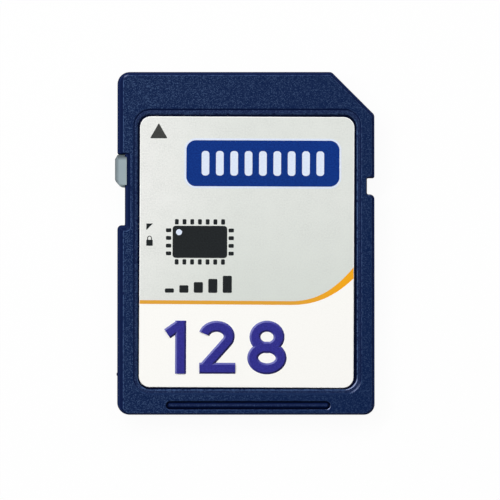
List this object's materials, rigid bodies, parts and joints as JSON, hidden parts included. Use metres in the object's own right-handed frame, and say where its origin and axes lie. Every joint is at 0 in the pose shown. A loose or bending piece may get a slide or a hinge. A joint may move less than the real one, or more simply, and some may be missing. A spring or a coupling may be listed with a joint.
{
  "type": "memory card",
  "caption": "Flat rectangular memory card with a cut key corner, thin side rails, a row of contacts on its back and a sliding write-lock tab in its left edge.",
  "frame": {"origin": "middle of the back face, on the centre lines of the card's outline", "axes": "+Z out of the label face, +Y towards the contact edge, +X to the right seen from above"},
  "size_m": [0.0242, 0.032, 0.0021],
  "materials": {
    "navy_plastic": "fine spark-eroded grain",
    "grey_plastic": "smooth satin",
    "label_film": "printed film",
    "board_laminate": "green solder mask",
    "gold_plate": "hard gold plating",
    "chip_resin": "moulded black resin",
    "capacitor_ceramic": "tan ceramic, tinned ends",
    "resistor_body": "black glaze, tinned ends"
  },
  "bodies": {
    "card": {"top_cover": "navy_plastic", "bottom_cover": "navy_plastic", "front_label": "label_film", "contact_pad_1": "gold_plate", "contact_pad_2": "gold_plate", "contact_pad_3": "gold_plate", "contact_pad_4": "gold_plate", "contact_pad_5": "gold_plate", "contact_pad_6": "gold_plate", "contact_pad_7": "gold_plate", "contact_pad_8": "gold_plate", "contact_pad_9": "gold_plate", "circuit_board": "board_laminate", "flash_chip": "chip_resin", "controller_chip": "chip_resin", "capacitor_1": "capacitor_ceramic", "capacitor_2": "capacitor_ceramic", "capacitor_3": "capacitor_ceramic", "capacitor_4": "capacitor_ceramic", "resistor_1": "resistor_body", "resistor_2": "resistor_body", "resistor_3": "resistor_body", "resistor_4": "resistor_body", "resistor_5": "resistor_body"},
    "lock": {"lock_slider": "grey_plastic"}
  },
  "joints": [
    {"name": "lock_slide", "type": "slide", "parent": "card", "child": "lock", "axis": [0, -1, 0], "range_m": [0, 0.0035]}
  ]
}
